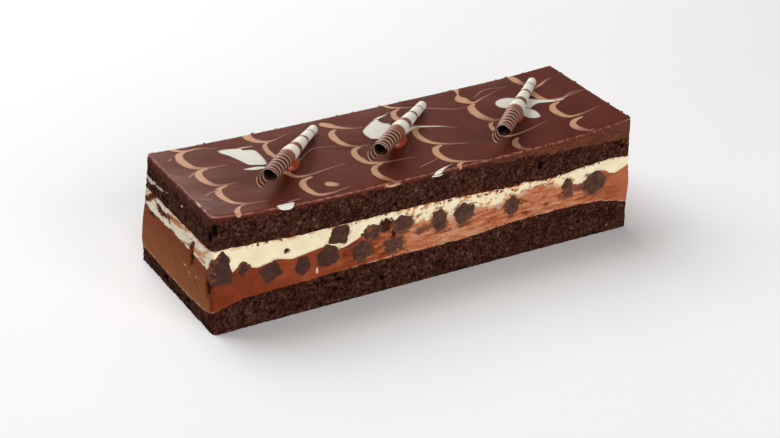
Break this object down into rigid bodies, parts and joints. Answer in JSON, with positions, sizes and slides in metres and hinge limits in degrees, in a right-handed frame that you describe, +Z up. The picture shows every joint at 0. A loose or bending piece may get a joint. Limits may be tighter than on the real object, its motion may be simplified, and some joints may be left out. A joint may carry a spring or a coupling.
{
  "type": "tuxedo cake",
  "caption": "Uncut bar-shaped layer cake: chocolate sponge, chocolate mousse with brownie cubes, white cream, sponge and marbled glaze, with rolled chocolate curls on top.",
  "frame": {"origin": "on the surface the cake rests on, under the middle of the cake's bounding box", "axes": "+Z up, +X along the bar's long side from its left end to its right end, -Y towards the long side with the shown brownie cubes"},
  "size_m": [0.2836, 0.1064, 0.085],
  "materials": {
    "sponge": "matt dark crumb with open pores",
    "mousse": "satin, aerated, dragged by the knife",
    "cream": "satin, smooth",
    "glaze": "glossy with feathered tan and white marbling",
    "brownie": "matt, dense crumb",
    "white_chocolate": "satin, striped with brown chocolate",
    "milk_chocolate": "glossy"
  },
  "bodies": {
    "root": {"sponge_bottom": "sponge", "mousse_chocolate": "mousse", "cream": "cream", "sponge_top": "sponge", "glaze": "glaze", "brownie_back_01": "brownie", "brownie_back_02": "brownie", "brownie_back_03": "brownie", "brownie_back_04": "brownie", "brownie_back_05": "brownie", "brownie_back_06": "brownie", "brownie_back_07": "brownie", "brownie_back_08": "brownie", "brownie_back_09": "brownie", "brownie_back_10": "brownie", "brownie_back_11": "brownie", "brownie_front_01": "brownie", "brownie_front_02": "brownie", "brownie_front_03": "brownie", "brownie_front_04": "brownie", "brownie_front_05": "brownie", "brownie_front_06": "brownie", "brownie_front_07": "brownie", "brownie_front_08": "brownie", "brownie_front_09": "brownie", "brownie_front_10": "brownie", "brownie_front_11": "brownie", "brownie_front_12": "brownie", "brownie_front_13": "brownie", "brownie_front_14": "brownie", "brownie_front_15": "brownie", "brownie_right_01": "brownie", "brownie_right_02": "brownie", "brownie_right_03": "brownie", "curl_1": "white_chocolate", "curl_2": "white_chocolate", "curl_3": "white_chocolate", "dab_1": "milk_chocolate", "dab_2": "milk_chocolate", "dab_3": "milk_chocolate"}
  },
  "joints": []
}
